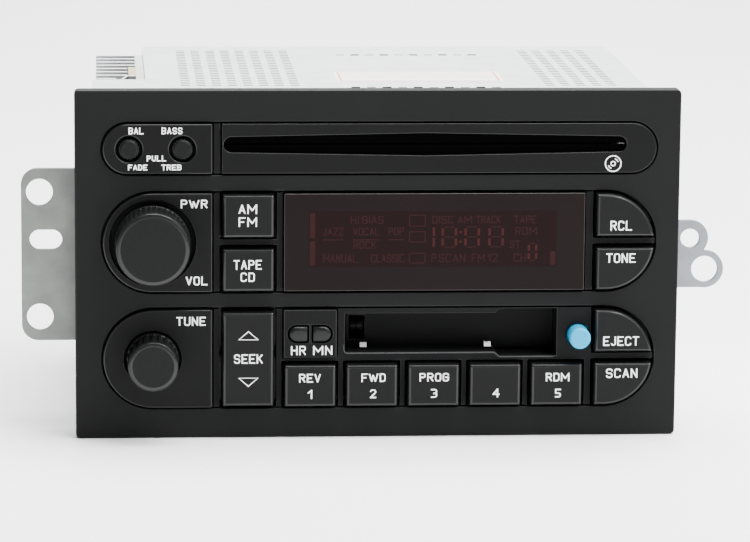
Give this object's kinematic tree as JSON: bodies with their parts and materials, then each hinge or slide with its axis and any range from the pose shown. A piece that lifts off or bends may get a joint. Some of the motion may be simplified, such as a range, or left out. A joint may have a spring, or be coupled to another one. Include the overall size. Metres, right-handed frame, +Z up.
{
  "type": "car cd cassette player",
  "caption": "Dashboard player with rotary knobs, push buttons, a display, a disc slot and a cassette mouth in a black trim plate on a steel chassis with side brackets.",
  "frame": {"origin": "under the middle of the footprint, at the lower edge of the trim plate", "axes": "+X to the right of the face, -Y out of the face, +Z up"},
  "size_m": [0.231, 0.174, 0.114],
  "materials": {
    "black_trim": "fine matt grain",
    "black_panel": "matt",
    "black_pod": "satin",
    "button_black": "satin",
    "knob_black": "soft grain",
    "lens_smoke": "polished",
    "tube_glass": "polished",
    "sky_blue": "satin",
    "zinc_sheet": "galvanised",
    "bracket_steel": "dull zinc",
    "bright_zinc": "bright zinc",
    "aluminium": "extruded",
    "tan_case": "moulded",
    "circuit_board": "solder mask",
    "switch_body": "moulded",
    "natural_nylon": "moulded",
    "plated_steel": "plated",
    "brass": "turned",
    "rubber": "matt",
    "socket_black": "moulded"
  },
  "bodies": {
    "chassis": {"trim_plate": "black_trim", "face_panel": "black_panel", "panel_frame": "black_panel", "tone_pod": "black_pod", "volume_pod": "black_pod", "tune_pod": "black_pod", "clock_pod": "black_pod", "cd_slot_panel": "black_pod", "display_lens": "lens_smoke", "display_tube": "tube_glass", "front_board": "circuit_board", "front_controls": "switch_body", "chassis_tray": "zinc_sheet", "rear_panel": "zinc_sheet", "top_cover": "zinc_sheet", "heat_sink": "aluminium", "power_chip": "tan_case", "sink_clip": "plated_steel", "left_bracket": "bracket_steel", "right_bracket": "bright_zinc", "main_board": "circuit_board", "harness_socket": "socket_black", "antenna_socket": "plated_steel", "tape_deck": "zinc_sheet", "drive_belt": "rubber", "cd_deck": "zinc_sheet"},
    "volume_knob": {"volume_knob": "knob_black", "volume_shaft": "plated_steel"},
    "tune_knob": {"tune_knob": "knob_black", "tune_shaft": "plated_steel"},
    "am_fm_button": {"am_fm_button": "button_black"},
    "tape_cd_button": {"tape_cd_button": "button_black"},
    "recall_button": {"recall_button": "button_black"},
    "tone_button": {"tone_button": "button_black"},
    "eject_button": {"eject_button": "button_black"},
    "scan_button": {"scan_button": "button_black"},
    "preset_button_1": {"preset_button_1": "button_black"},
    "preset_button_2": {"preset_button_2": "button_black"},
    "preset_button_3": {"preset_button_3": "button_black"},
    "preset_button_4": {"preset_button_4": "button_black"},
    "preset_button_5": {"preset_button_5": "button_black"},
    "hour_button": {"hour_button": "button_black"},
    "minute_button": {"minute_button": "button_black"},
    "blue_button": {"blue_button": "sky_blue"},
    "seek_rocker": {"seek_rocker": "button_black"},
    "cassette_door": {"cassette_door": "black_panel"},
    "take_up_hub": {"take_up_hub": "natural_nylon"},
    "supply_hub": {"supply_hub": "natural_nylon"},
    "capstan_flywheel": {"capstan_flywheel": "brass"},
    "motor_pulley": {"motor_pulley": "brass"},
    "head_plate": {"head_plate": "plated_steel"},
    "pinch_roller": {"pinch_roller": "rubber"},
    "cd_turntable": {"cd_turntable": "socket_black"},
    "cd_pickup": {"cd_pickup": "socket_black"},
    "cd_feed_roller": {"cd_feed_roller": "rubber"},
    "volume_rotor": {"volume_rotor": "natural_nylon"},
    "balance_rotor": {"balance_rotor": "natural_nylon"},
    "balance_knob": {"balance_knob": "knob_black"},
    "bass_rotor": {"bass_rotor": "natural_nylon"},
    "bass_knob": {"bass_knob": "knob_black"}
  },
  "joints": [
    {"name": "volume_turn", "type": "hinge", "parent": "chassis", "child": "volume_rotor", "pos_m": [-0.073, -0.065, 0.06452], "axis": [0, 1, 0], "continuous": true},
    {"name": "volume_push", "type": "slide", "parent": "volume_rotor", "child": "volume_knob", "axis": [0, 1, 0], "range_m": [0, 0.0008], "stiffness_N_per_m": 600},
    {"name": "tune_turn", "type": "hinge", "parent": "chassis", "child": "tune_knob", "pos_m": [-0.073, -0.065, 0.02637], "axis": [0, 1, 0], "continuous": true},
    {"name": "balance_turn", "type": "hinge", "parent": "chassis", "child": "balance_rotor", "pos_m": [-0.0805, -0.065, 0.0951], "axis": [0, 1, 0], "range_deg": [-140, 140]},
    {"name": "balance_pull", "type": "slide", "parent": "balance_rotor", "child": "balance_knob", "axis": [0, -1, 0], "range_m": [0, 0.006]},
    {"name": "bass_turn", "type": "hinge", "parent": "chassis", "child": "bass_rotor", "pos_m": [-0.06335, -0.065, 0.0951], "axis": [0, 1, 0], "range_deg": [-140, 140]},
    {"name": "bass_pull", "type": "slide", "parent": "bass_rotor", "child": "bass_knob", "axis": [0, -1, 0], "range_m": [0, 0.006]},
    {"name": "seek_rock", "type": "hinge", "parent": "chassis", "child": "seek_rocker", "pos_m": [0, -0.0662, 0.02637], "axis": [1, 0, 0], "range_deg": [-2.5, 2.5], "stiffness_Nm_per_rad": 0.2},
    {"name": "cassette_door_swing", "type": "hinge", "parent": "chassis", "child": "cassette_door", "pos_m": [0, -0.058, 0.04465], "axis": [1, 0, 0], "range_deg": [0, 80], "stiffness_Nm_per_rad": 0.004, "springref_deg": -17.19},
    {"name": "am_fm_press", "type": "slide", "parent": "chassis", "child": "am_fm_button", "axis": [0, 1, 0], "range_m": [0, 0.0008], "stiffness_N_per_m": 400},
    {"name": "tape_cd_press", "type": "slide", "parent": "chassis", "child": "tape_cd_button", "axis": [0, 1, 0], "range_m": [0, 0.0008], "stiffness_N_per_m": 400},
    {"name": "recall_press", "type": "slide", "parent": "chassis", "child": "recall_button", "axis": [0, 1, 0], "range_m": [0, 0.0008], "stiffness_N_per_m": 400},
    {"name": "tone_press", "type": "slide", "parent": "chassis", "child": "tone_button", "axis": [0, 1, 0], "range_m": [0, 0.0008], "stiffness_N_per_m": 400},
    {"name": "eject_press", "type": "slide", "parent": "chassis", "child": "eject_button", "axis": [0, 1, 0], "range_m": [0, 0.0008], "stiffness_N_per_m": 400},
    {"name": "scan_press", "type": "slide", "parent": "chassis", "child": "scan_button", "axis": [0, 1, 0], "range_m": [0, 0.0008], "stiffness_N_per_m": 400},
    {"name": "preset_1_press", "type": "slide", "parent": "chassis", "child": "preset_button_1", "axis": [0, 1, 0], "range_m": [0, 0.0008], "stiffness_N_per_m": 400},
    {"name": "preset_2_press", "type": "slide", "parent": "chassis", "child": "preset_button_2", "axis": [0, 1, 0], "range_m": [0, 0.0008], "stiffness_N_per_m": 400},
    {"name": "preset_3_press", "type": "slide", "parent": "chassis", "child": "preset_button_3", "axis": [0, 1, 0], "range_m": [0, 0.0008], "stiffness_N_per_m": 400},
    {"name": "preset_4_press", "type": "slide", "parent": "chassis", "child": "preset_button_4", "axis": [0, 1, 0], "range_m": [0, 0.0008], "stiffness_N_per_m": 400},
    {"name": "preset_5_press", "type": "slide", "parent": "chassis", "child": "preset_button_5", "axis": [0, 1, 0], "range_m": [0, 0.0008], "stiffness_N_per_m": 400},
    {"name": "hour_press", "type": "slide", "parent": "chassis", "child": "hour_button", "axis": [0, 1, 0], "range_m": [0, 0.0008], "stiffness_N_per_m": 400},
    {"name": "minute_press", "type": "slide", "parent": "chassis", "child": "minute_button", "axis": [0, 1, 0], "range_m": [0, 0.0008], "stiffness_N_per_m": 400},
    {"name": "blue_press", "type": "slide", "parent": "chassis", "child": "blue_button", "axis": [0, 1, 0], "range_m": [0, 0.0008], "stiffness_N_per_m": 400},
    {"name": "head_advance", "type": "slide", "parent": "chassis", "child": "head_plate", "axis": [-1, 0, 0], "range_m": [0, 0.005]},
    {"name": "pickup_travel", "type": "slide", "parent": "chassis", "child": "cd_pickup", "axis": [1, 0, 0], "range_m": [0, 0.0325]},
    {"name": "take_up_spin", "type": "hinge", "parent": "chassis", "child": "take_up_hub", "pos_m": [0.02105, -0.024, 0.02], "axis": [0, 0, 1], "continuous": true},
    {"name": "supply_spin", "type": "hinge", "parent": "chassis", "child": "supply_hub", "pos_m": [0.02105, 0.0185, 0.02], "axis": [0, 0, 1], "continuous": true},
    {"name": "capstan_spin", "type": "hinge", "parent": "chassis", "child": "capstan_flywheel", "pos_m": [0.0519, -0.033, 0.02], "axis": [0, 0, 1], "continuous": true},
    {"name": "motor_spin", "type": "hinge", "parent": "chassis", "child": "motor_pulley", "pos_m": [-0.03258, -0.013, 0.02], "axis": [0, 0, 1], "continuous": true},
    {"name": "pinch_spin", "type": "hinge", "parent": "head_plate", "child": "pinch_roller", "pos_m": [0.0627, -0.033, 0.025], "axis": [0, 0, 1], "continuous": true},
    {"name": "disc_spin", "type": "hinge", "parent": "chassis", "child": "cd_turntable", "pos_m": [0.0151, 0.009, 0.095], "axis": [0, 0, 1], "continuous": true},
    {"name": "feed_spin", "type": "hinge", "parent": "chassis", "child": "cd_feed_roller", "pos_m": [0, -0.0491, 0.0924], "axis": [1, 0, 0], "continuous": true}
  ],
  "couplings": [
    {"joint": "capstan_spin", "follows": "motor_spin", "ratio": 0.28571}
  ]
}
